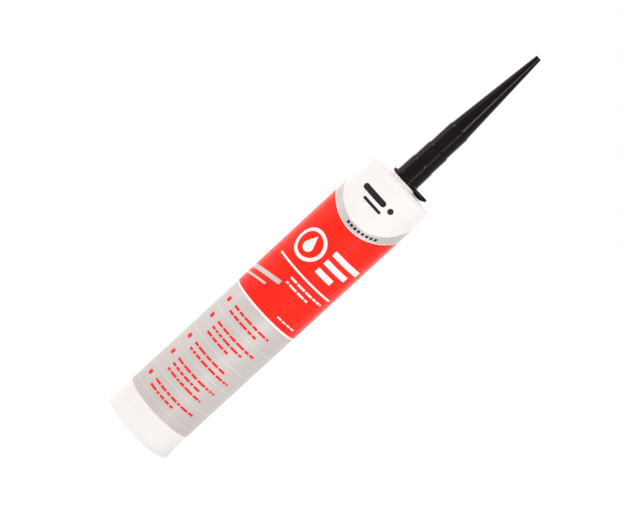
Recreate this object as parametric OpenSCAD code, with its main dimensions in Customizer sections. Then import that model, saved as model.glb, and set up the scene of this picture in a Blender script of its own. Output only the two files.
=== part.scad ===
// A cartridge of sealant for a hand gun, standing on its rear rim. The axis is +Z, the origin is the
// centre of the rim, and the printed front faces -Y. Sizes are in millimetres.
// A moulded tube with a closed, threaded neck is filled with paste behind which a cup-shaped piston
// sits, and a hollow, stepped nozzle is screwed down over the neck onto a round collar.

/* [Tube] */
// Outer diameter of the tube
tube_od = 49.2; // [44:0.1:56]
// Wall thickness of the tube
tube_wall = 1.25; // [0.9:0.05:1.8]
// Height of the tube from its rear rim to the top of its head
tube_h = 218; // [190:1:260]
// Thickness of the flat head
head_t = 2.2; // [1.5:0.1:4]
// Rounding of the outer edge of the head
head_edge_r = 0.9; // [0.4:0.1:1.2]
// Chamfer inside the tube, where the wall meets the head
head_inner_c = 1.2; // [0.4:0.1:2]

/* [Rear skirt] */
// How far the rear rim stands out from the tube, on the radius
rim_flare = 0.4; // [0.1:0.1:1.2]
// Height of the straight band of the rim
rim_band_h = 2.5; // [1:0.5:5]
// Height at which the flare has run out into the tube
rim_flare_h = 10; // [6:1:16]
// Chamfer of the rim's outer edge
rim_edge_c = 0.4; // [0.2:0.1:0.6]
// How much wider than the bore the rear entry is, on the radius
entry_extra = 0.4; // [0.1:0.1:0.6]
// Depth of the straight rear entry
entry_depth = 15; // [6:1:16]
// Length of the cone that leads from the entry to the bore
entry_cone_h = 2; // [1:0.5:4]

/* [Neck] */
// How far the low pad round the neck reaches past the nozzle's tab
pad_margin = 0.5; // [0:0.1:1.5]
// Height of the low pad above the head
pad_h = 0.7; // [0.4:0.1:2]
// Outer diameter of the collar that the nozzle seats on
collar_d = 18.8; // [17.5:0.1:19.2]
// Height of the collar above the pad
collar_h = 2; // [1.7:0.1:3]
// Root diameter of the neck's thread
neck_d = 12.4; // [10:0.1:13]
// Height of the thread's ridge, on the radius
thread_ridge = 0.65; // [0.4:0.05:0.8]
// Clearance round the thread's ridge in the nozzle, on the radius
thread_gap = 0.15; // [0.1:0.05:0.3]
// Height of the threaded neck above the head
neck_h = 19; // [12:0.5:21]
// Wall thickness of the neck and of its closed tip
neck_wall = 1.5; // [1:0.1:2]
// Height of the closed tip that is cut off before use
neck_tip_h = 7; // [4:0.5:9]
// Diameter of the closed tip's shoulder
neck_shoulder_d = 11; // [8:0.1:12]
// Diameter of the closed tip's flat end
neck_tip_d = 6.4; // [4:0.1:8]

/* [Nozzle] */
// Length of the nozzle from the underside of its flange to its tip
nozzle_len = 108; // [90:1:150]
// Outer diameter of the base where it leaves the flange
base_d = 16.9; // [15.6:0.1:18]
// Taper of the base over its height, on the radius
base_draft = 0.25; // [0:0.05:0.35]
// Height of the base, flange included
base_h = 14.9; // [13:0.1:20]
// Outer diameter of the middle section
middle_d = 15.7; // [15.2:0.1:16.4]
// Height of the middle section
middle_h = 12.6; // [10:0.1:18]
// Outer diameter of the upper section
upper_d = 14.6; // [13.6:0.1:15]
// Height of the upper section
upper_h = 16.3; // [10:0.1:24]
// Outer diameter of the cone where it starts
cone_d = 13.7; // [12:0.1:14]
// Outer diameter of the tip
tip_d = 3.8; // [3.4:0.1:6]
// Height of each slanted step between two sections
step_h = 1.4; // [0.8:0.1:2]
// Rounding of the tip's outer edge
tip_edge_r = 0.35; // [0.1:0.05:0.5]
// Length of the thread's bore past the end of the neck's thread
thread_run_out = 3.2; // [1:0.1:5]
// Chamfer at the mouth of the bore
mouth_c = 0.8; // [0.3:0.1:1.2]
// Wall thickness above the thread
nozzle_wall = 1.35; // [1:0.05:1.6]
// Diameter of the straight outlet at the tip
outlet_d = 2.4; // [1.6:0.1:2.6]
// Length of the straight outlet
outlet_len = 8; // [4:1:12]

/* [Flange] */
// Thickness of the flange and its tab
flange_t = 2.2; // [1.6:0.1:4]
// Diameter of the round flange
flange_d = 20.8; // [20.6:0.1:24]
// Distance from the axis to the end of the tab
tab_reach = 17.6; // [15:0.1:19]
// Radius of the tab's round end
tab_r = 5; // [4:0.1:6]
// Radius of the round root of the tab
tab_root_r = 7.2; // [6:0.1:7.5]
// Distance from the axis to the centre of the root
tab_root_x = 5.5; // [4:0.1:6]
// How far the belly under the tab hangs below the flange
belly_h = 1.3; // [0.3:0.1:1.5]
// Radius of the flat of the belly
belly_r = 3.2; // [1:0.1:3.5]
// Distance from the axis to the centre of the belly
belly_x = 11.4; // [11:0.1:12]
// Gap between the belly and the collar, on the radius
belly_gap = 0.4; // [0.3:0.1:0.5]
// Rounding of the flange's edges
flange_edge_r = 0.7; // [0.3:0.1:0.7]
// Radius of the fillet between the flange and the base
flange_fillet = 1.2; // [0.3:0.1:1.2]

/* [Piston] */
// Distance from the entry's cone to the back of the piston
piston_set = 1; // [0:0.5:20]
// Height of the piston
piston_h = 20; // [14:0.5:30]
// Running clearance between the piston's lips and the bore, on the radius
piston_gap = 0.05; // [0.02:0.01:0.1]
// How far the lips stand out from the piston's body
lip_out = 0.45; // [0.2:0.05:0.8]
// Height of each sealing lip
lip_h = 2.6; // [1.5:0.1:4]
// Wall thickness of the piston
piston_wall = 1.3; // [0.9:0.1:2]
// Thickness of the piston's front
piston_front_t = 1.8; // [1.2:0.1:3]
// Outer diameter of the hub ring inside the piston
hub_d = 18; // [12:1:26]
// Height of the hub ring and of the ribs below the front
rib_h = 11; // [6:0.5:12]
// Thickness of each rib
rib_t = 1.2; // [0.8:0.1:2]
// Number of ribs
rib_count = 8; // [4:1:12]

/* [Filling] */
// Clearance of the soft filling from what holds it
fill_gap = 0.3; // [0.1:0.1:0.5]

/* [Print] */
// Thickness that stands for a printed layer
ink_t = 0.15; // [0.1:0.05:0.3]
// Height of the bare band below the silver panel
bare_h = 18.5; // [12:0.5:30]
// Height of the silver panel
silver_h = 87.5; // [50:0.5:95]
// Height of the white line between the two panels
panel_gap = 1.4; // [0.5:0.1:4]
// Distance from the top of the head down to the lowest point of the red panel's hollow edge
red_drop = 39.6; // [30:0.1:60]
// How much larger than the tube's the radius of the red panel's hollow edge is, seen from the front
swoop_extra = 7.4; // [3:0.1:12]
// How far the hollow edge lies to the left of the axis
swoop_shift = 2.1; // [0:0.1:2.8]
// Height of the white line above the red panel
swoop_gap = 1.3; // [0.5:0.1:4]
// Height of the silver band above that line
swoop_band = 2.6; // [1:0.1:6]

/* [Hidden] */
$fn = 120;
// Overlap of pieces that are joined, and the extra length of a cut
eps = 0.05;
cut = 1;
// Number of straight pieces in a small arc
arc_n = 6;

tube_r = tube_od / 2;
bore_r = tube_r - tube_wall;
entry_r = bore_r + entry_extra;
rim_r = tube_r + rim_flare;
head_in_z = tube_h - head_t;
pad_z = tube_h + pad_h;
pad_r = tab_reach + pad_margin;
seat_z = pad_z + collar_h;
collar_r = collar_d / 2;
neck_r = neck_d / 2;
neck_in_r = neck_r - neck_wall;
neck_top_z = tube_h + neck_h;
tip_top_z = neck_top_z + neck_tip_h;
shoulder_r = neck_shoulder_d / 2;
neck_tip_r = neck_tip_d / 2;

base_r = base_d / 2;
thread_r = neck_r + thread_ridge + thread_gap;
thread_depth = neck_h - pad_h - collar_h + thread_run_out;
outlet_r = outlet_d / 2;
middle_top = base_h + middle_h;
upper_top = middle_top + upper_h;
cone_z = upper_top + step_h;
outlet_z = nozzle_len - outlet_len;
bore_step_z = thread_depth + step_h;
flange_r = flange_d / 2;
tab_x = tab_reach - tab_r;

piston_z = entry_depth + entry_cone_h + piston_set;
piston_r = bore_r - piston_gap;
piston_body_r = piston_r - lip_out;
piston_in_r = piston_body_r - piston_wall;
hub_r = hub_d / 2;
piston_top_z = piston_z + piston_h;

silver_z1 = bare_h + silver_h;
red_z0 = silver_z1 + panel_gap;
swoop_r = tube_r + swoop_extra;
swoop_z = tube_h - red_drop + swoop_r;

// Points of a quarter circle about (x, z), from angle a0 to angle a0 + 90
function quarter(x, z, r, a0) =
    [for (i = [0:arc_n]) [x + r * cos(a0 + 90 * i / arc_n), z + r * sin(a0 + 90 * i / arc_n)]];

// Points of a hollow fillet of radius r that climbs from the flat at z to the wall at x
function fillet(x, z, r) =
    [for (i = [0:arc_n]) [x + r - r * sin(90 * i / arc_n), z + r - r * cos(90 * i / arc_n)]];

// Tube, head, pad, collar and closed neck, turned as one moulding
module cartridge() {
    outer = concat(
        [[entry_r, 0], [rim_r - rim_edge_c, 0], [rim_r, rim_edge_c], [rim_r, rim_band_h],
         [tube_r, rim_flare_h]],
        quarter(tube_r - head_edge_r, tube_h - head_edge_r, head_edge_r, 0),
        [[pad_r, tube_h], [pad_r, pad_z], [collar_r, pad_z], [collar_r, seat_z], [neck_r, seat_z],
         [neck_r, neck_top_z], [shoulder_r, neck_top_z], [neck_tip_r, tip_top_z], [0, tip_top_z]]);
    inner = [
        [0, tip_top_z - neck_wall],
        [neck_tip_r - neck_wall, tip_top_z - neck_wall],
        [min(neck_in_r, shoulder_r - neck_wall), neck_top_z],
        [neck_in_r, neck_top_z - neck_wall],
        [neck_in_r, head_in_z],
        [bore_r - head_inner_c, head_in_z],
        [bore_r, head_in_z - head_inner_c],
        [bore_r, entry_depth + entry_cone_h],
        [entry_r, entry_depth]];
    color("white")
        rotate_extrude()
            polygon(concat(outer, inner));
}

// The paste between the piston and the head, and in the neck
module sealant() {
    fill_r = bore_r - fill_gap;
    fill_z1 = head_in_z - fill_gap;
    stem_r = neck_in_r - fill_gap;
    color("whitesmoke")
        rotate_extrude()
            polygon([
                [0, piston_top_z + fill_gap],
                [fill_r, piston_top_z + fill_gap],
                [fill_r, fill_z1 - head_inner_c],
                [fill_r - head_inner_c, fill_z1],
                [stem_r, fill_z1],
                [stem_r, neck_top_z - neck_wall - fill_gap],
                [0, neck_top_z - neck_wall - fill_gap]]);
}

// A cup that opens to the rear, with a lip at each end, a hub ring and ribs behind its front
module piston() {
    front_c = head_inner_c;
    color("gainsboro")
        translate([0, 0, piston_z]) {
            rotate_extrude()
                polygon([
                    [piston_in_r, 0], [piston_r, 0], [piston_r, lip_h],
                    [piston_body_r, lip_h + lip_out],
                    [piston_body_r, piston_h - front_c - lip_h - lip_out],
                    [piston_r, piston_h - front_c - lip_h],
                    [piston_r, piston_h - front_c], [piston_r - front_c, piston_h],
                    [0, piston_h], [0, piston_h - piston_front_t],
                    [piston_in_r, piston_h - piston_front_t]]);
            translate([0, 0, piston_h - piston_front_t - rib_h])
                difference() {
                    union() {
                        cylinder(h = rib_h + eps, r = hub_r);
                        for (i = [0:rib_count - 1])
                            rotate([0, 0, 360 * i / rib_count])
                                translate([hub_r - rib_t, -rib_t / 2, 0])
                                    cube([piston_in_r - hub_r + rib_t + eps, rib_t, rib_h + eps]);
                    }
                    translate([0, 0, -cut])
                        cylinder(h = rib_h + cut, r = hub_r - piston_wall);
                }
        }
}

// A disc of the flange's thickness with rounded edges
module soft_disc(r) {
    rotate_extrude()
        polygon(concat(
            [[0, 0]],
            quarter(r - flange_edge_r, flange_edge_r, flange_edge_r, -90),
            quarter(r - flange_edge_r, flange_t - flange_edge_r, flange_edge_r, 0),
            [[0, flange_t]]));
}

// The flange: a round disc with one tab, whose underside hangs down past the collar
module flange() {
    soft_disc(flange_r);
    difference() {
        hull() {
            translate([tab_root_x, 0, 0])
                soft_disc(tab_root_r, $fn = 48);
            translate([tab_x, 0, 0])
                soft_disc(tab_r, $fn = 48);
            translate([belly_x, 0, -belly_h])
                cylinder(h = belly_h, r = belly_r, $fn = 48);
        }
        translate([0, 0, -belly_h - cut])
            cylinder(h = belly_h + cut, r = collar_r + belly_gap);
    }
}

// Nozzle: stepped base and long cone on a flange with a tab, bored through from end to end
module nozzle() {
    color([0.07, 0.07, 0.07])
        translate([0, 0, seat_z])
            difference() {
                union() {
                    rotate_extrude()
                        polygon(concat(
                            [[0, 0], [base_r, 0]],
                            fillet(base_r, flange_t, flange_fillet),
                            [[base_r - base_draft, base_h - step_h / 2],
                             [middle_d / 2, base_h + step_h / 2],
                             [middle_d / 2, middle_top - step_h / 2],
                             [upper_d / 2, middle_top + step_h / 2],
                             [upper_d / 2, upper_top],
                             [cone_d / 2, cone_z]],
                            quarter(tip_d / 2 - tip_edge_r, nozzle_len - tip_edge_r, tip_edge_r, 0),
                            [[0, nozzle_len]]));
                    flange();
                }
                rotate_extrude()
                    polygon([
                        [0, -cut],
                        [thread_r + mouth_c + cut, -cut],
                        [thread_r, mouth_c],
                        [thread_r, thread_depth],
                        [middle_d / 2 - nozzle_wall, bore_step_z],
                        [middle_d / 2 - nozzle_wall, middle_top - step_h / 2],
                        [upper_d / 2 - nozzle_wall, middle_top + step_h / 2],
                        [upper_d / 2 - nozzle_wall, upper_top],
                        [cone_d / 2 - nozzle_wall, cone_z],
                        [outlet_r, outlet_z],
                        [outlet_r, nozzle_len + cut],
                        [0, nozzle_len + cut]]);
            }
}

// A thin layer round the tube between two heights
module wrap(z0, z1) {
    translate([0, 0, z0])
        difference() {
            cylinder(h = z1 - z0, r = tube_r + ink_t);
            translate([0, 0, -cut])
                cylinder(h = z1 - z0 + 2 * cut, r = tube_r);
        }
}

// The round bar, from front to back, whose underside is the hollow edge raised by lift
module swoop(lift) {
    translate([-swoop_shift, 0, swoop_z + lift])
        rotate([90, 0, 0])
            cylinder(h = tube_od + 2 * cut, r = swoop_r, center = true, $fn = 180);
}

// Silver print: the lower panel and the band above the red panel
module silver_print() {
    color([0.79, 0.79, 0.80]) {
        wrap(bare_h, silver_z1);
        difference() {
            intersection() {
                wrap(red_z0, swoop_z);
                swoop(swoop_gap);
            }
            swoop(swoop_gap + swoop_band);
        }
    }
}

// Red print: the upper panel, hollowed from above
module red_print() {
    color([0.93, 0.18, 0.13])
        difference() {
            wrap(red_z0, swoop_z);
            swoop(0);
        }
}

cartridge();
sealant();
piston();
nozzle();
silver_print();
red_print();
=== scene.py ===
import math

import bpy
import numpy as np
from mathutils import Matrix, Vector


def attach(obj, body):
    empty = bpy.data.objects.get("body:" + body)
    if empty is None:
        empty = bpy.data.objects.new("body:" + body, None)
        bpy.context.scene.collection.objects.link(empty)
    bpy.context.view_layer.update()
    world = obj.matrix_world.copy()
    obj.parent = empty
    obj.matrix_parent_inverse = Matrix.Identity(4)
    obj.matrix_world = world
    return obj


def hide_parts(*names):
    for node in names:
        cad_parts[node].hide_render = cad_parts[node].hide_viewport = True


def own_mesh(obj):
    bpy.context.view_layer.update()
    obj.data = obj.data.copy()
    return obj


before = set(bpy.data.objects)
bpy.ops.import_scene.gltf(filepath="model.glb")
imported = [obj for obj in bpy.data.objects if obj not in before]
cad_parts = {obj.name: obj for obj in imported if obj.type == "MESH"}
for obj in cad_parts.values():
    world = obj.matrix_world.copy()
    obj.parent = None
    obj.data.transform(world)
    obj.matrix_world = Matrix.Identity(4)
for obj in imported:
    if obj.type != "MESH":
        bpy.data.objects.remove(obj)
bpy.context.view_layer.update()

mm = 0.001

# ---------------------------------------------------------------------------------------------
# Camera. A long lens a little higher than the head of the tube, looking down by six degrees
# and rolled on its own axis, so that the upright cartridge leans to the upper right.
# ---------------------------------------------------------------------------------------------
camera_place = Vector((-0.0035, -1.1500, 0.2709))
camera_pan = 0.0013
camera_tilt = math.pi / 2 - 0.1067
camera_roll = 0.8256

camera_lens = bpy.data.cameras.new("camera")
camera_lens.sensor_width = 36.0
camera_lens.lens = 111.4
camera = bpy.data.objects.new("camera", camera_lens)
camera.matrix_world = (
    Matrix.Translation(camera_place)
    @ Matrix.Rotation(camera_pan, 4, "Z")
    @ Matrix.Rotation(camera_tilt, 4, "X")
    @ Matrix.Rotation(camera_roll, 4, "Z")
)
bpy.context.scene.collection.objects.link(camera)
bpy.context.scene.camera = camera
bpy.context.scene.view_settings.view_transform = "Standard"

# ---------------------------------------------------------------------------------------------
# Studio. A white floor in a white room. The room is plain white to the camera, evenly bright on
# matt surfaces, and plain white again in reflections and through glass. Two strip lamps on each
# side draw the long highlights, and the other lamps lift the edges and the shadows.
# ---------------------------------------------------------------------------------------------
room_light = 0.45
object_middle = Vector((0.0, 0.0, 0.17))
lamp_reach = 1.25


def sees_background(nodes, links):
    """The value 1 for a ray from the camera, off a glossy surface or through glass, else 0."""
    rays = nodes.new("ShaderNodeLightPath")
    seen = rays.outputs["Is Camera Ray"]
    for kind in ("Is Glossy Ray", "Is Transmission Ray"):
        either = nodes.new("ShaderNodeMath")
        either.operation = "MAXIMUM"
        links.new(seen, either.inputs[0])
        links.new(rays.outputs[kind], either.inputs[1])
        seen = either.outputs["Value"]
    return seen


world = bpy.data.worlds.new("white_room")
bpy.context.scene.world = world
world.use_nodes = True
nodes, links = world.node_tree.nodes, world.node_tree.links
nodes.clear()
room = nodes.new("ShaderNodeBackground")
room.inputs["Color"].default_value = (1.0, 0.985, 0.975, 1.0)
room.inputs["Strength"].default_value = room_light
backdrop = nodes.new("ShaderNodeBackground")
backdrop.inputs["Color"].default_value = (1.0, 1.0, 1.0, 1.0)
backdrop.inputs["Strength"].default_value = 1.0
chosen = nodes.new("ShaderNodeMixShader")
links.new(sees_background(nodes, links), chosen.inputs["Fac"])
links.new(room.outputs["Background"], chosen.inputs[1])
links.new(backdrop.outputs["Background"], chosen.inputs[2])
world_out = nodes.new("ShaderNodeOutputWorld")
links.new(chosen.outputs["Shader"], world_out.inputs["Surface"])


def lamp(name, bearing, height, width, tall, radiance, colour, reach=lamp_reach):
    """A rectangular lamp that faces the object: bearing is its angle in degrees from the front,
    positive to the right, reach its distance from the axis and radiance its face's brightness."""
    turn = math.radians(bearing)
    place = Vector((reach * math.sin(turn), -reach * math.cos(turn), height))
    face = bpy.data.lights.new(name, "AREA")
    face.shape = "RECTANGLE"
    face.size, face.size_y = width, tall
    face.energy = radiance * math.pi * width * tall
    face.color = colour
    held = bpy.data.objects.new(name, face)
    held.location = place
    held.rotation_euler = (object_middle - place).to_track_quat("-Z", "Y").to_euler()
    bpy.context.scene.collection.objects.link(held)
    return held


lamp("strip_right_low", 35.0, 0.10, 0.22, 0.60, 4.2, (1.0, 0.97, 0.98))
lamp("strip_right_high", 30.0, 0.60, 0.24, 0.44, 19.5, (1.0, 0.97, 0.98))
lamp("strip_left_low", -88.0, 0.05, 0.70, 0.60, 1.9, (1.0, 0.92, 0.89))
lamp("strip_left_high", -86.0, 0.80, 0.70, 0.70, 3.8, (1.0, 0.92, 0.89))
lamp("overhead", 0.0, 1.70, 0.80, 0.80, 1.8, (1.0, 0.98, 0.97), reach=0.1)
behind = lamp("glow_behind", -176.0, 0.35, 2.4, 0.9, 1.1, (1.0, 0.98, 0.97))
behind.visible_camera = False
left_fill = lamp("left_fill", -125.0, 0.30, 1.2, 1.0, 1.0, (1.0, 0.99, 0.98))
left_fill.visible_glossy = False
front_fill = lamp("front_fill", -10.0, 0.50, 1.4, 1.2, 0.14, (1.0, 0.99, 0.98))
front_fill.visible_glossy = False

# The floor shines by itself where the background is seen, weakly beside the object, which keeps
# its shadow there, and strongly away from it, where the floor turns as white as the backdrop.
floor_half, floor_drop = 6.0, 0.0001
shine_from, shine_to = 0.03, 0.16
shine_weak, shine_strong = 0.30, 0.95

floor_mesh = bpy.data.meshes.new("floor")
floor_mesh.from_pydata(
    [(-floor_half, -floor_half, 0.0), (floor_half, -floor_half, 0.0),
     (floor_half, floor_half, 0.0), (-floor_half, floor_half, 0.0)],
    [], [(0, 1, 2, 3)])
floor = bpy.data.objects.new("floor", floor_mesh)
floor.location.z = -floor_drop
bpy.context.scene.collection.objects.link(floor)

floor_paint = bpy.data.materials.new("white_floor")
floor_paint.use_nodes = True
nodes, links = floor_paint.node_tree.nodes, floor_paint.node_tree.links
nodes.clear()
matt = nodes.new("ShaderNodeBsdfDiffuse")
matt.inputs["Color"].default_value = (0.86, 0.86, 0.86, 1.0)
lift = nodes.new("ShaderNodeEmission")
lift.inputs["Color"].default_value = (1.0, 1.0, 1.0, 1.0)
place = nodes.new("ShaderNodeTexCoord")
away = nodes.new("ShaderNodeVectorMath")
away.operation = "LENGTH"
links.new(place.outputs["Object"], away.inputs[0])
fade_out = nodes.new("ShaderNodeMapRange")
fade_out.inputs["From Min"].default_value = shine_from
fade_out.inputs["From Max"].default_value = shine_to
fade_out.inputs["To Min"].default_value = shine_weak
fade_out.inputs["To Max"].default_value = shine_strong
links.new(away.outputs["Value"], fade_out.inputs["Value"])
glow = nodes.new("ShaderNodeMath")
glow.operation = "MULTIPLY"
links.new(sees_background(nodes, links), glow.inputs[0])
links.new(fade_out.outputs["Result"], glow.inputs[1])
links.new(glow.outputs["Value"], lift.inputs["Strength"])
both = nodes.new("ShaderNodeAddShader")
links.new(matt.outputs["BSDF"], both.inputs[0])
links.new(lift.outputs["Emission"], both.inputs[1])
floor_out = nodes.new("ShaderNodeOutputMaterial")
links.new(both.outputs["Shader"], floor_out.inputs["Surface"])
floor_mesh.materials.append(floor_paint)

# ---------------------------------------------------------------------------------------------
# Cartridge. One moulding of white polyethylene: straight tube with a slightly flared rear rim,
# flat head with a low pad and a collar, and a closed neck. It is turned from one outline that runs
# from the tip of the neck down the outside, round the rim and back up the inside.
# ---------------------------------------------------------------------------------------------
tube_r, rim_r, bore_r, entry_r = 24.6, 25.0, 23.35, 23.75
head_z, pad_z, pad_r, seat_z, collar_r = 218.0, 218.7, 18.1, 220.7, 9.4
neck_r, neck_in_r, neck_z, tip_z = 6.2, 4.7, 237.0, 244.0
sharp_edge = math.radians(38.0)


def rounded(corners, steps=6):
    """An outline in (radius, height). Each corner (radius, height, rounding) becomes an arc that
    touches both its sides, with one point more on each side close by, which keeps the shading of
    the flats even. A corner with no rounding stays a point."""
    points = np.array([c[:2] for c in corners], float)
    out = [points[0]]
    for i in range(1, len(corners) - 1):
        here, fillet = points[i], corners[i][2]
        back, on = points[i - 1] - here, points[i + 1] - here
        back_length, on_length = np.hypot(*back), np.hypot(*on)
        back, on = back / back_length, on / on_length
        half = math.acos(np.clip(back @ on, -1.0, 1.0)) / 2
        reach = min(fillet / math.tan(half), 0.42 * back_length, 0.42 * on_length)
        fillet = reach * math.tan(half)
        if reach < 1e-4:
            out.append(here)
            continue
        guard = min(0.25 * fillet + 0.05, 0.05 * min(back_length, on_length))
        middle = (back + on) / np.hypot(*(back + on)) * fillet / math.sin(half)
        start, end = reach * back - middle, reach * on - middle
        turn = np.arctan2(start[0] * end[1] - start[1] * end[0], start @ end)
        angles = np.linspace(0.0, turn, steps + 1)[:, None]
        across = np.array([-start[1], start[0]])
        arc = here + middle + start * np.cos(angles) + across * np.sin(angles)
        out.extend([here + back * (reach + guard), *arc, here + on * (reach + guard)])
    out.append(points[-1])
    return np.array(out)


def turned(outline, columns=256):
    """A grid of points: the outline (radius, height) carried once round the axis."""
    angle = np.linspace(0.0, 2 * math.pi, columns, endpoint=False)
    radius, height = outline[:, :1], outline[:, 1:]
    return np.stack([radius * np.sin(angle), -radius * np.cos(angle),
                     height + 0 * angle], -1)


def skin(name, grids, body, paint, loop=False):
    """One piece from grids of points in millimetres. The columns of a grid close round. Its rows
    run from pole to pole, where the first and the last row are each drawn into their middle, or
    with loop they close round as well. Faces are turned so that the enclosed volume is positive."""
    grids = [grids] if isinstance(grids, np.ndarray) else grids
    points, faces, first = [], [], 0
    for grid in grids:
        rows, columns = grid.shape[:2]
        flat = grid.reshape(-1, 3)
        index = np.arange(rows * columns).reshape(rows, columns)
        beside = np.roll(index, -1, 1)
        if loop:
            quads = np.stack([index, beside, np.roll(beside, -1, 0), np.roll(index, -1, 0)], -1)
            quads, fans = quads.reshape(-1, 4), np.zeros((0, 3), int)
        else:
            poles = np.array([grid[0].mean(0), grid[-1].mean(0)])
            flat = np.concatenate([poles, grid[1:-1].reshape(-1, 3)])
            index = np.arange((rows - 2) * columns).reshape(rows - 2, columns) + 2
            beside = np.roll(index, -1, 1)
            quads = np.stack([index[:-1], beside[:-1], beside[1:], index[1:]], -1).reshape(-1, 4)
            fans = np.concatenate([
                np.stack([0 * index[0], beside[0], index[0]], -1),
                np.stack([0 * index[0] + 1, index[-1], beside[-1]], -1)])
        split = np.concatenate([quads[:, [0, 1, 2]], quads[:, [0, 2, 3]], fans])
        a, b, c = (flat[split[:, k]] for k in range(3))
        if np.einsum("ij,ij->i", a, np.cross(b, c)).sum() < 0:
            quads, fans = quads[:, ::-1], fans[:, ::-1]
        faces += (quads + first).tolist() + (fans + first).tolist()
        points.append(flat)
        first += len(flat)
    mesh = bpy.data.meshes.new(name)
    mesh.from_pydata((np.concatenate(points) * mm).tolist(), [], faces)
    mesh.shade_smooth()
    mesh.set_sharp_from_angle(angle=sharp_edge)
    mesh.materials.append(paint)
    piece = bpy.data.objects.new(name, mesh)
    bpy.context.scene.collection.objects.link(piece)
    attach(piece, body)
    return piece


def finish_of(name, pale, deep, gloss, grain, relief, along=1.0, spread=900.0, metal=0.0,
              soft=0.0, sheen=0.12):
    """A moulded or printed finish on object coordinates. A broad noise, drawn out by along in
    height, mixes the colours pale and deep. A fine noise with grain cells to the metre sets the
    roughness between the two values of gloss and a relief of that many millimetres. Sheen is how
    strongly it mirrors, less than plain plastic does, because this room is white all round."""
    paint = bpy.data.materials.new(name)
    paint.use_nodes = True
    nodes, links = paint.node_tree.nodes, paint.node_tree.links
    shader = nodes["Principled BSDF"]
    shader.inputs["Metallic"].default_value = metal
    shader.inputs["Specular IOR Level"].default_value = sheen
    shader.inputs["Subsurface Weight"].default_value = soft
    shader.inputs["Subsurface Radius"].default_value = (1.0, 0.9, 0.8)
    shader.inputs["Subsurface Scale"].default_value = 0.0012
    place = nodes.new("ShaderNodeTexCoord")
    drawn = nodes.new("ShaderNodeMapping")
    drawn.inputs["Scale"].default_value = (1.0, 1.0, 1.0 / along)
    broad = nodes.new("ShaderNodeTexNoise")
    broad.inputs["Scale"].default_value = spread
    broad.inputs["Detail"].default_value = 3.0
    colours = nodes.new("ShaderNodeMix")
    colours.data_type = "RGBA"
    colours.inputs["A"].default_value = (*pale, 1.0)
    colours.inputs["B"].default_value = (*deep, 1.0)
    fine = nodes.new("ShaderNodeTexNoise")
    fine.inputs["Scale"].default_value = grain
    fine.inputs["Detail"].default_value = 2.0
    rough = nodes.new("ShaderNodeMapRange")
    rough.inputs["From Min"].default_value = 0.3
    rough.inputs["From Max"].default_value = 0.7
    rough.inputs["To Min"].default_value = gloss[0]
    rough.inputs["To Max"].default_value = gloss[1]
    bump = nodes.new("ShaderNodeBump")
    bump.inputs["Strength"].default_value = 0.6
    bump.inputs["Distance"].default_value = relief * mm
    links.new(place.outputs["Object"], drawn.inputs["Vector"])
    links.new(drawn.outputs["Vector"], broad.inputs["Vector"])
    links.new(broad.outputs["Fac"], colours.inputs["Factor"])
    links.new(colours.outputs["Result"], shader.inputs["Base Color"])
    links.new(place.outputs["Object"], fine.inputs["Vector"])
    links.new(fine.outputs["Fac"], rough.inputs["Value"])
    links.new(rough.outputs["Result"], shader.inputs["Roughness"])
    links.new(fine.outputs["Fac"], bump.inputs["Height"])
    links.new(bump.outputs["Normal"], shader.inputs["Normal"])
    return paint


white_moulding = finish_of("white_moulding", (0.91, 0.89, 0.872), (0.885, 0.865, 0.847),
                           (0.34, 0.46), grain=1400.0, relief=0.003, along=30.0, spread=700.0)

cartridge_outline = rounded([
    (0.0, tip_z), (3.2, tip_z, 0.5), (5.5, neck_z, 0.3), (neck_r, neck_z, 0.25),
    (neck_r, seat_z, 0.4), (collar_r, seat_z, 0.2), (collar_r, pad_z, 0.3), (pad_r, pad_z, 0.25),
    (pad_r, head_z, 0.2), (tube_r, head_z, 0.9), (tube_r, 10.0, 30.0), (rim_r, 2.5, 6.0),
    (rim_r, 0.0, 0.4), (entry_r, 0.0, 0.3), (entry_r, 15.0, 0.6), (bore_r, 17.0, 0.6),
    (bore_r, 214.6, 0.5), (22.15, 215.8, 0.5), (neck_in_r, 215.8, 0.5), (neck_in_r, 235.5, 0.4),
    (4.0, neck_z, 0.4), (1.7, 242.5, 0.4), (0.0, 242.5)])
cartridge = skin("cartridge_moulding", turned(cartridge_outline), "cartridge",
                 white_moulding)
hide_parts("cartridge")

# ---------------------------------------------------------------------------------------------
# Neck thread. A rounded ridge moulded in one with the neck, which holds the nozzle. It climbs
# in a helix and fades into the neck at both ends.
# ---------------------------------------------------------------------------------------------
thread_pitch, thread_z0, thread_z1 = 3.2, 222.2, 235.6
ridge_root_r, ridge_crest_r = 5.9, 6.85

turns = (thread_z1 - thread_z0) / thread_pitch
climb = np.linspace(0.0, 1.0, 320)
fade = np.clip(np.minimum(climb, 1.0 - climb) * turns * 5.0, 0.0, 1.0)
fade = fade * fade * (3.0 - 2.0 * fade)
section = rounded([(0.0, -1.0), (0.55, -0.75, 0.2), (1.0, -0.42, 0.25), (1.0, 0.42, 0.25),
                   (0.55, 0.75, 0.2), (0.0, 1.0)], steps=3)
ridge_angle = (2 * math.pi * turns * climb)[:, None]
ridge_r = ridge_root_r + (ridge_crest_r - ridge_root_r) * fade[:, None] * section[:, 0]
ridge_h = thread_z0 + (thread_z1 - thread_z0) * climb[:, None] + section[:, 1] * (
    0.3 + 0.7 * fade[:, None])
ridge_grid = np.stack([ridge_r * np.sin(ridge_angle), -ridge_r * np.cos(ridge_angle),
                       ridge_h], -1)
skin("neck_thread", ridge_grid, "cartridge", white_moulding)

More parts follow.
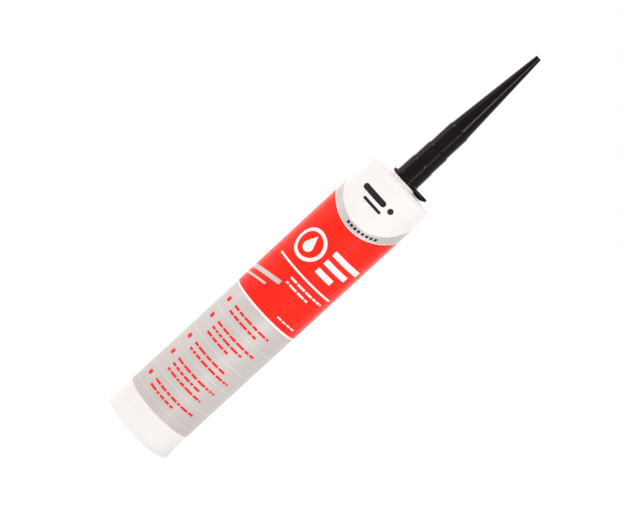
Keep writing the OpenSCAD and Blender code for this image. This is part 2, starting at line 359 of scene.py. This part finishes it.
# ---------------------------------------------------------------------------------------------
# Printed panels. Two colours of ink laid on the turning tube: a silver panel, and above it a red
# one whose upper edge is hollow, followed by a silver band. Each is a thin closed wrap. The band
# has two pieces: one of even width, and above it a swell that widens towards the tube's sides.
# ---------------------------------------------------------------------------------------------
print_in_r, print_r = 24.5, 24.72
silver_z0, silver_z1, red_z0 = 18.5, 106.0, 107.4
hollow_r, hollow_shift, hollow_z = 32.0, 2.1, 210.4
band_low, band_seam, band_width = 0.6, 3.9, 4.9

silver_ink = finish_of("silver_ink", (0.55, 0.515, 0.50), (0.49, 0.46, 0.447), (0.40, 0.54),
                       grain=3500.0, relief=0.004, along=0.05, spread=500.0, metal=0.38)
red_ink = finish_of("red_ink", (0.93, 0.024, 0.011), (0.90, 0.019, 0.009), (0.30, 0.42),
                    grain=1800.0, relief=0.004, spread=600.0)

around = np.linspace(-math.pi, math.pi, 256, endpoint=False)


def hollow_edge(angle, inset=0.0):
    """Height of the hollow upper edge at an angle from the front: the underside of a round bar
    that lies from front to back above the tube, with its radius made smaller by inset."""
    x = tube_r * np.sin(angle) + hollow_shift
    return hollow_z - np.sqrt((hollow_r - inset) ** 2 - x ** 2)


def wrap(low, high):
    """A closed band round the tube between two heights, which may vary with the angle."""
    low, high = low + 0 * around, high + 0 * around
    radius = np.array([print_in_r, print_r, print_r, print_in_r])[:, None]
    height = np.stack([low, low, high, high])
    return np.stack([radius * np.sin(around), -radius * np.cos(around), height], -1)


silver_panel = skin("silver_panel", [wrap(silver_z0, silver_z1)], "cartridge",
                    silver_ink, loop=True)
silver_band = skin("silver_band", [wrap(hollow_edge(around) + band_low,
                                        hollow_edge(around) + band_seam)],
                   "cartridge", silver_ink, loop=True)
skin("silver_swell", [wrap(hollow_edge(around) + band_seam, hollow_edge(around, band_width))],
     "cartridge", silver_ink, loop=True)
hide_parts("silver_print")
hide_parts("silver_print")
red_panel = skin("red_panel", [wrap(red_z0, hollow_edge(around))], "cartridge",
                 red_ink, loop=True)
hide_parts("red_print")

# ---------------------------------------------------------------------------------------------
# Printed marks. Plain bars, rings, stripes and rows of dashes in white, red, silver and dark ink,
# printed over the two panels and the bare top. Each is a thin closed patch that follows the tube.
# ---------------------------------------------------------------------------------------------
mark_r, mark_in_r = 24.76, 24.62

white_ink = finish_of("white_ink", (0.90, 0.88, 0.865), (0.88, 0.86, 0.845), (0.30, 0.42),
                      grain=1800.0, relief=0.004, spread=600.0)
dark_ink = finish_of("dark_ink", (0.012, 0.011, 0.012), (0.022, 0.020, 0.021), (0.30, 0.42),
                     grain=1800.0, relief=0.004, spread=600.0)
pale_ink = finish_of("pale_silver_ink", (0.70, 0.67, 0.655), (0.65, 0.62, 0.605), (0.30, 0.44),
                     grain=3500.0, relief=0.004, spread=500.0, metal=0.2)


def patch(x, low, high):
    """A thin closed patch on the print. At each place x along the girth, counted in millimetres
    from the front, it reaches from the height low to the height high."""
    x, low, high = (np.concatenate([v[:1], v, v[-1:]]) for v in (x, low + 0 * x, high + 0 * x))
    angle, radius = (x / tube_r)[:, None], np.array([mark_in_r, mark_r, mark_r, mark_in_r])
    return np.stack([radius * np.sin(angle), -radius * np.cos(angle),
                     np.stack([low, low, high, high], -1)], -1)


def bar(left, right, middle, height, corner=0.0, lean=0.0):
    """A bar between two places on the girth, with rounded corners: within one corner radius of
    an end its half height follows a circle. Lean raises it by that much per millimetre."""
    steps = np.linspace(0.0, 1.0, max(4, int((right - left) / 1.5)))
    if corner:
        bend = corner * (1 - np.cos(np.linspace(0.0, math.pi / 2, 9)))
        steps = np.concatenate([bend, corner + (right - left - 2 * corner) * steps[1:-1],
                                right - left - bend[::-1]]) / (right - left)
    x = left + (right - left) * steps
    near = np.minimum(np.minimum(x - left, right - x), corner)
    half = height / 2 - corner + np.sqrt(np.maximum(corner ** 2 - (corner - near) ** 2, 0.0))
    centre = middle + lean * (x - (left + right) / 2)
    return patch(x, centre - half, centre + half)


def ring(x, z, outer, inner):
    """A ring about a point of the girth, between two radii."""
    turn = np.linspace(0.0, 2 * math.pi, 96, endpoint=False)
    size = np.array([inner, outer, outer, inner])[:, None]
    radius = np.array([mark_in_r, mark_in_r, mark_r, mark_r])[:, None]
    angle = (x + size * np.cos(turn)) / tube_r
    return np.stack([radius * np.sin(angle), -radius * np.cos(angle),
                     z + size * np.sin(turn) + 0 * radius], -1)


def drop(x, z, size):
    """A drop that stands on its round end: a circle whose upper half is drawn up to a point."""
    across = -size * np.cos(np.linspace(0.0, math.pi, 33))
    round_half = np.sqrt(np.maximum(size ** 2 - across ** 2, 0.0))
    point = 1.5 * size * (1 - np.abs(across) / size) ** 1.4
    return patch(x + across, z - round_half, z + 0.8 * round_half + point)


shortest_dash, longest_dash, dash_gap, least_rest = 1.8, 6.5, 0.9, 1.2
dash_lengths = np.random.default_rng(7)


def dashes(left, right, middle, height):
    """A row of dashes of uneven length between two places, one gap apart, until less than the
    least rest is left."""
    row, x = [], left
    while x < right - least_rest:
        end = min(x + dash_lengths.uniform(shortest_dash, longest_dash), right)
        row.append(bar(x, end, middle, height))
        x = end + dash_gap
    return row


white_marks = [drop(-11.0, 154.0, 3.6)]
for width, z in ((24.0, 162.6), (19.0, 155.6), (13.0, 148.6)):
    white_marks.append(bar(3.0, 3.0 + width, z, 3.8, corner=0.5))
white_marks.append(bar(-22.0, 27.0, 139.5, 1.3, corner=0.3))
for right, z in ((24.0, 134.2), (14.0, 130.4)):
    white_marks += dashes(-4.0, right, z, 1.3)
white_marks += dashes(8.0, 26.0, 112.0, 1.0)
for row in range(12):
    white_marks += dashes(50.0, 104.0 - 9.0 * (row % 4 == 3), 166.0 - 3.4 * row, 1.0)
white_marks.append(bar(52.0, 102.0, 118.0, 16.0, corner=1.0))
skin("white_marks", white_marks, "cartridge", white_ink)
skin("white_ring", [ring(-11.0, 155.6, 10.6, 8.3)], "cartridge", white_ink,
     loop=True)

silver_marks = [bar(-36.0, -6.0, 123.5, 3.0, lean=0.24), bar(-34.0, -12.0, 117.4, 1.5, lean=0.24)]
skin("silver_marks", silver_marks, "cartridge", silver_ink)

red_marks = []
red_groups = ((97.5, (24.0, 17.0)), (83.5, (27.0, 21.0, 12.0)), (65.0, (20.0, 28.0)),
              (51.0, (26.0, 18.0, 23.0)), (32.5, (27.0, 15.0)))
for top, widths in red_groups:
    red_marks.append(bar(-24.0, -20.8, top - 0.6, 3.2, corner=0.4))
    for row, width in enumerate(widths):
        red_marks += dashes(-15.0, width - 8.0, top - 4.3 * row, 1.5)
for row in range(19):
    red_marks += dashes(50.0, 76.0 - 7.0 * (row % 5 == 4), 98.0 - 3.9 * row, 1.1)
    red_marks += dashes(80.0, 106.0 - 8.0 * (row % 6 == 5), 98.0 - 3.9 * row, 1.1)
skin("red_marks", red_marks, "cartridge", red_ink)

pale_rules = [bar(-28.0, 30.0, z, 0.35) for z in (89.0, 70.3, 56.3, 37.8, 24.0)]
skin("pale_rules", pale_rules, "cartridge", pale_ink)

dark_marks = [bar(-16.0, 3.0, 203.4, 3.8, corner=1.89), bar(5.6, 9.4, 203.4, 3.8, corner=1.89),
              bar(-10.0, 4.0, 198.2, 1.8, corner=0.5)]
dot_size, dot_pitch, dot_rise = 1.8, 2.8, 2.9
for x in np.arange(-6.0, 14.0, dot_pitch):
    along = x + np.linspace(0.0, dot_size, 4)
    centre = hollow_edge(along / tube_r) + dot_rise
    dark_marks.append(patch(along, centre - dot_size / 2, centre + dot_size / 2))
skin("dark_marks", dark_marks, "cartridge", dark_ink)

# ---------------------------------------------------------------------------------------------
# Nozzle. One moulding of black polyethylene that screws down over the neck: a round flange with
# one tab, a tapered base, two slimmer sections with slanted steps and a long cone, bored through.
# Its skin is one closed outline of stations, whose radius follows the tab on the flange.
# ---------------------------------------------------------------------------------------------
flange_r, flange_t, flange_round = 10.4, 2.2, 0.7
root_x, root_r, tab_x, tab_r = 5.5, 7.2, 12.6, 5.0
belly_x, belly_r, belly_h, belly_in = 11.4, 3.2, 1.3, 9.8
nozzle_columns, belly_halvings = 192, 14

black_moulding = finish_of("black_moulding", (0.0034, 0.0016, 0.0014), (0.0022, 0.0010, 0.0009),
                           (0.15, 0.23), grain=1500.0, relief=0.0015, along=12.0, sheen=0.13)
black_moulding.node_tree.nodes["Principled BSDF"].inputs["Specular Tint"].default_value = (
    1.0, 0.86, 0.85, 1.0)

even = np.linspace(0.0, 2 * math.pi, nozzle_columns, endpoint=False)
bearing = even - 0.5 * np.sin(even)


def rim(inset):
    """Radius of the flange's outline at each bearing, moved inwards by inset: a disc and a tab,
    which is the skin round two circles, with straight sides that lean in towards its end."""
    off = np.abs((bearing + math.pi) % (2 * math.pi) - math.pi)
    side = math.acos((root_r - tab_r) / (tab_x - root_x))
    end = tab_r - inset
    meet = math.atan2(end * math.sin(side), tab_x + end * math.cos(side))
    tip = tab_x * np.cos(off) + np.sqrt(np.maximum(end ** 2 - (tab_x * np.sin(off)) ** 2, 0.0))
    flank = (tab_x * math.cos(side) + end) / np.maximum(np.cos(side - off), 0.5)
    return np.maximum(flange_r - inset, np.where(off < meet, tip, np.where(off < side, flank, 0.0)))


def hang(radius):
    """How far the belly under the tab hangs down at a radius on each bearing. Its level sections
    are skins round two circles that shrink from the tab's to the flat's; halving finds the lowest
    section that still holds the point."""
    x, y = radius * np.cos(bearing), np.abs(radius * np.sin(bearing))
    above, below = 0 * x, 1 + 0 * x
    for _ in range(belly_halvings):
        level = (above + below) / 2
        x0 = root_x + (belly_x - root_x) * level
        x1 = tab_x + (belly_x - tab_x) * level
        r0 = root_r - flange_round + (belly_r - root_r + flange_round) * level
        r1 = tab_r - flange_round + (belly_r - tab_r + flange_round) * level
        lean = (r0 - r1) / (x1 - x0)
        flat = np.sqrt(1 - lean ** 2)
        along = (x - x0) * flat - y * lean
        gap = np.where(along < 0, np.hypot(x - x0, y) - r0,
                       np.where(along > flat * (x1 - x0), np.hypot(x - x1, y) - r1,
                                (x - x0) * lean + y * flat - r0))
        above, below = np.where(gap < 0, level, above), np.where(gap < 0, below, level)
    return belly_h * above


quarter_turn = np.linspace(0.0, math.pi / 2, 6)
tab_share = np.clip((rim(0.0) - flange_r) / 0.4, 0.0, 1.0)
under_in = belly_in - 0.4 * (1 - tab_share)
under_rows = [under_in - 0.05] + [under_in + share * (rim(flange_round) - under_in)
                                  for share in (0.0, 0.1, 0.22, 0.35, 0.5, 0.65, 0.8, 0.9)]
under_heights = [0 * bearing] + [-hang(row) for row in under_rows[1:]]
edge_insets = flange_round * np.concatenate([1 - np.sin(quarter_turn), 1 - np.cos(quarter_turn)])
edge_heights = np.concatenate([flange_round * (1 - np.cos(quarter_turn)),
                               flange_t - flange_round * (1 - np.sin(quarter_turn))])
# The cone's outline up the outside and down the bore. Its first corner only gives the fillet on
# the flange a side to lie on, so that corner and the point beside it are left out.
outside = rounded([
    (12.0, flange_t), (8.45, flange_t, 1.2), (8.2, 14.2, 0.8), (7.85, 15.6, 0.8),
    (7.85, 26.8, 0.8), (7.3, 28.2, 0.8), (7.3, 43.8, 0.8), (6.85, 45.2, 0.8),
    (1.9, 108.0, 0.35), (1.2, 108.0, 0.2), (1.2, 100.0, 3.0), (5.5, 45.2, 1.0),
    (5.95, 43.8, 0.8), (5.95, 28.2, 0.8), (6.5, 26.8, 0.8), (6.5, 20.9, 0.8),
    (7.0, 19.6, 0.4), (7.0, 19.4)])[2:]
bore_heights = np.linspace(19.2, 1.0, 92)
groove = 0.5 + 0.5 * np.cos(
    2 * math.pi * ((bore_heights[:, None] + seat_z - thread_z0) / thread_pitch
                   - (bearing + math.pi / 2) / (2 * math.pi)))
groove_fade = np.clip(np.minimum(bore_heights - 1.5, 18.5 - bore_heights) / 1.5, 0.0, 1.0)
bore_rows = 7.0 + 0.42 * groove_fade[:, None] * groove ** 1.5
mouth = rounded([(7.0, 0.9), (7.0, 0.8, 0.1), (7.8, 0.0, 0.2), (9.2, 0.0)])
nozzle_radius = np.concatenate([
    under_rows, [rim(i) for i in edge_insets], outside[:, :1] + 0 * bearing, bore_rows,
    mouth[:, :1] + 0 * bearing])
nozzle_height = seat_z + np.concatenate([
    under_heights, np.concatenate([edge_heights, outside[:, 1], bore_heights, mouth[:, 1]])[:, None]
    + 0 * bearing])
nozzle_grid = np.stack([nozzle_radius * np.cos(bearing), nozzle_radius * np.sin(bearing),
                        nozzle_height], -1)
nozzle = skin("nozzle_moulding", nozzle_grid, "nozzle", black_moulding,
              loop=True)
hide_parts("nozzle")

# ---------------------------------------------------------------------------------------------
# Piston. A cup of natural polyethylene that the gun's rod pushes: a sealing lip at each end,
# a front, and behind the front a hub ring and eight ribs. It opens to the rear.
# ---------------------------------------------------------------------------------------------
piston_z, rib_low, front_low = 18.0, 7.2, 18.2
hub_out_r, hub_in_r, cup_r, rib_half = 9.0, 7.7, 21.55, 0.6

natural_moulding = finish_of("natural_moulding", (0.80, 0.79, 0.76), (0.74, 0.73, 0.70),
                             (0.38, 0.52), grain=1500.0, relief=0.012, spread=500.0, soft=0.15)

cup = rounded([(0.0, 20.0), (22.1, 20.0, 0.6), (23.3, 18.8, 0.6), (23.3, 16.2, 0.5),
               (22.85, 15.75, 0.5), (22.85, 3.05, 0.5), (23.3, 2.6, 0.5), (23.3, 0.0, 0.4),
               (cup_r, 0.0, 0.35), (cup_r, front_low, 0.8), (0.0, front_low)])
hub = rounded([(8.35, rib_low), (hub_out_r, rib_low, 0.3), (hub_out_r, front_low + 0.4, 0.0),
               (hub_in_r, front_low + 0.4, 0.0), (hub_in_r, rib_low, 0.3), (8.35, rib_low)])[:-1]
lift_by = np.array([0.0, piston_z])
piston = skin("piston_cup", turned(cup + lift_by), "piston", natural_moulding)
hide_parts("piston")
skin("piston_hub", turned(hub + lift_by, 128), "piston", natural_moulding,
     loop=True)

rib_edge = rounded([(0.0, rib_low), (rib_half, rib_low, 0.35), (rib_half, front_low + 0.4, 0.0),
                    (-rib_half, front_low + 0.4, 0.0), (-rib_half, rib_low, 0.35),
                    (0.0, rib_low)], steps=4)[:-1]
rib_reach = np.array([8.3, 8.31, 12.0, 17.0, 21.9, 21.91])[:, None]
ribs = []
for turn in np.arange(8) * math.pi / 4:
    along, side = rib_reach + 0 * rib_edge[:, 0], rib_edge[:, 0] + 0 * rib_reach
    ribs.append(np.stack([along * math.cos(turn) - side * math.sin(turn),
                          along * math.sin(turn) + side * math.cos(turn),
                          piston_z + rib_edge[:, 1] + 0 * rib_reach], -1))
skin("piston_ribs", ribs, "piston", natural_moulding)

# ---------------------------------------------------------------------------------------------
# Sealant. Soft white paste that fills the tube from the piston to the head, with a mesh of its
# own, and a second piece of paste that fills the neck.
# ---------------------------------------------------------------------------------------------
paste = finish_of("sealant_paste", (0.84, 0.83, 0.80), (0.80, 0.79, 0.76), (0.16, 0.26),
                  grain=400.0, relief=0.05, spread=120.0, soft=0.3)

fill_outline = rounded([(0.0, 38.3), (23.05, 38.3, 0.6), (23.05, 214.3, 0.6), (21.85, 215.5, 0.6),
                        (0.0, 215.5)])
filling = skin("sealant_filling", turned(fill_outline, 128), "cartridge", paste)
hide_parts("sealant")
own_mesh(filling)
neck_outline = rounded([(0.0, 215.6), (4.4, 215.6, 0.3), (4.4, 235.2, 1.5), (0.0, 235.2)])
skin("neck_filling", turned(neck_outline, 64), "cartridge", paste)
